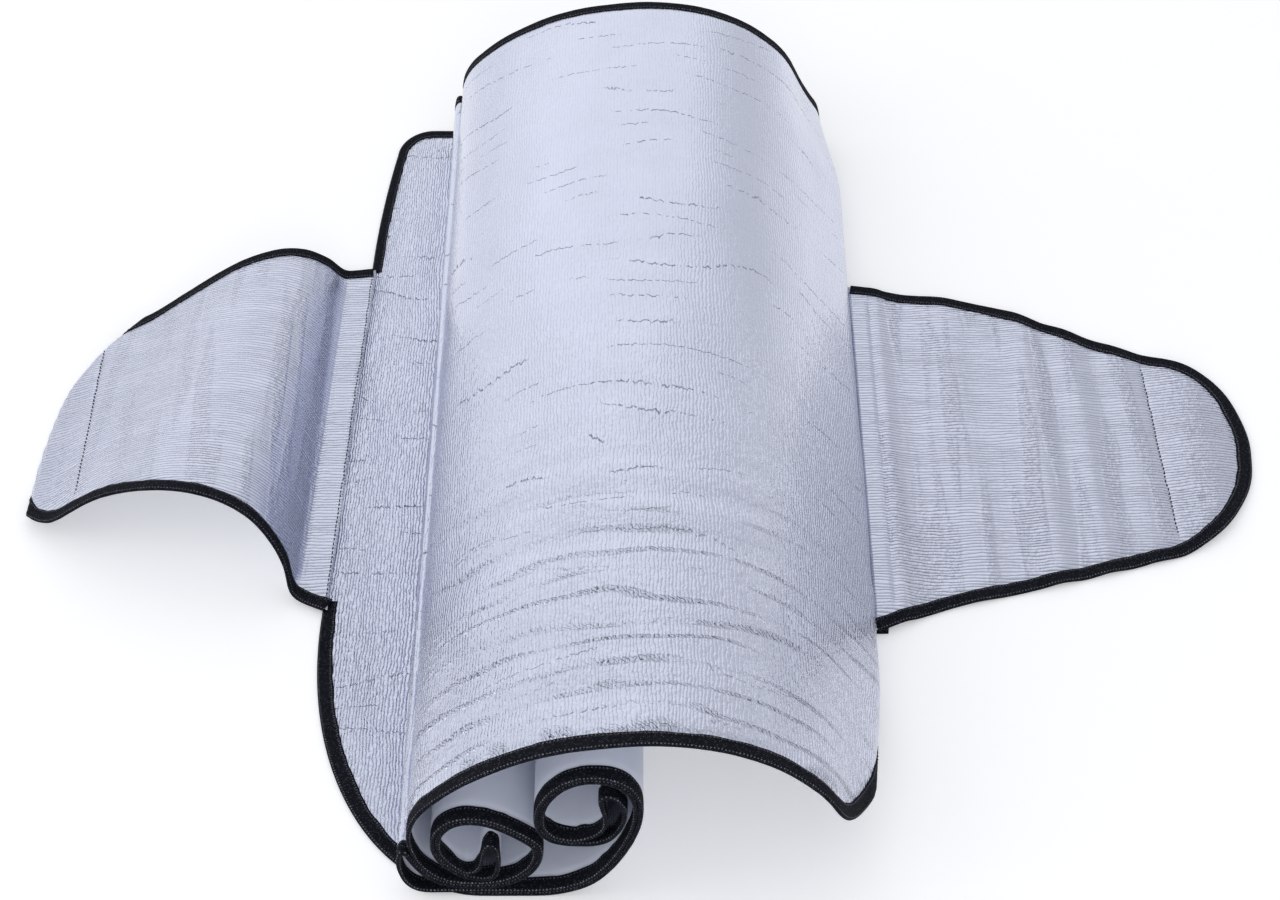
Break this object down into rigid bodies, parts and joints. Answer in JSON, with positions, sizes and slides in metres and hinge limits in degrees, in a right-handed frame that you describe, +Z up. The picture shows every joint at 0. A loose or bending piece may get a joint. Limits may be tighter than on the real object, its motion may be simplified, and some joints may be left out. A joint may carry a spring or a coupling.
{
  "type": "windscreen sunshade",
  "caption": "Foil-faced foam windscreen sunshade with bound edges and a rounded flap on each side, lying on the ground folded, rolled at one end and arched over.",
  "frame": {"origin": "on the ground under the middle of the bounding box", "axes": "+Z up, +Y along the roll away from the viewer, +X to the right, where the right flap lies flat"},
  "size_m": [0.73, 0.7, 0.11],
  "materials": {
    "foil_sheet": "crinkled silver foil on the outside, smooth pale blue-white backing on the inside",
    "edge_tape": "black woven binding tape"
  },
  "bodies": {
    "root": {"main_panel": "foil_sheet", "left_ear": "foil_sheet", "right_ear": "foil_sheet", "front_binding": "edge_tape", "back_binding": "edge_tape", "left_ear_binding": "edge_tape", "right_ear_binding": "edge_tape"}
  },
  "joints": []
}
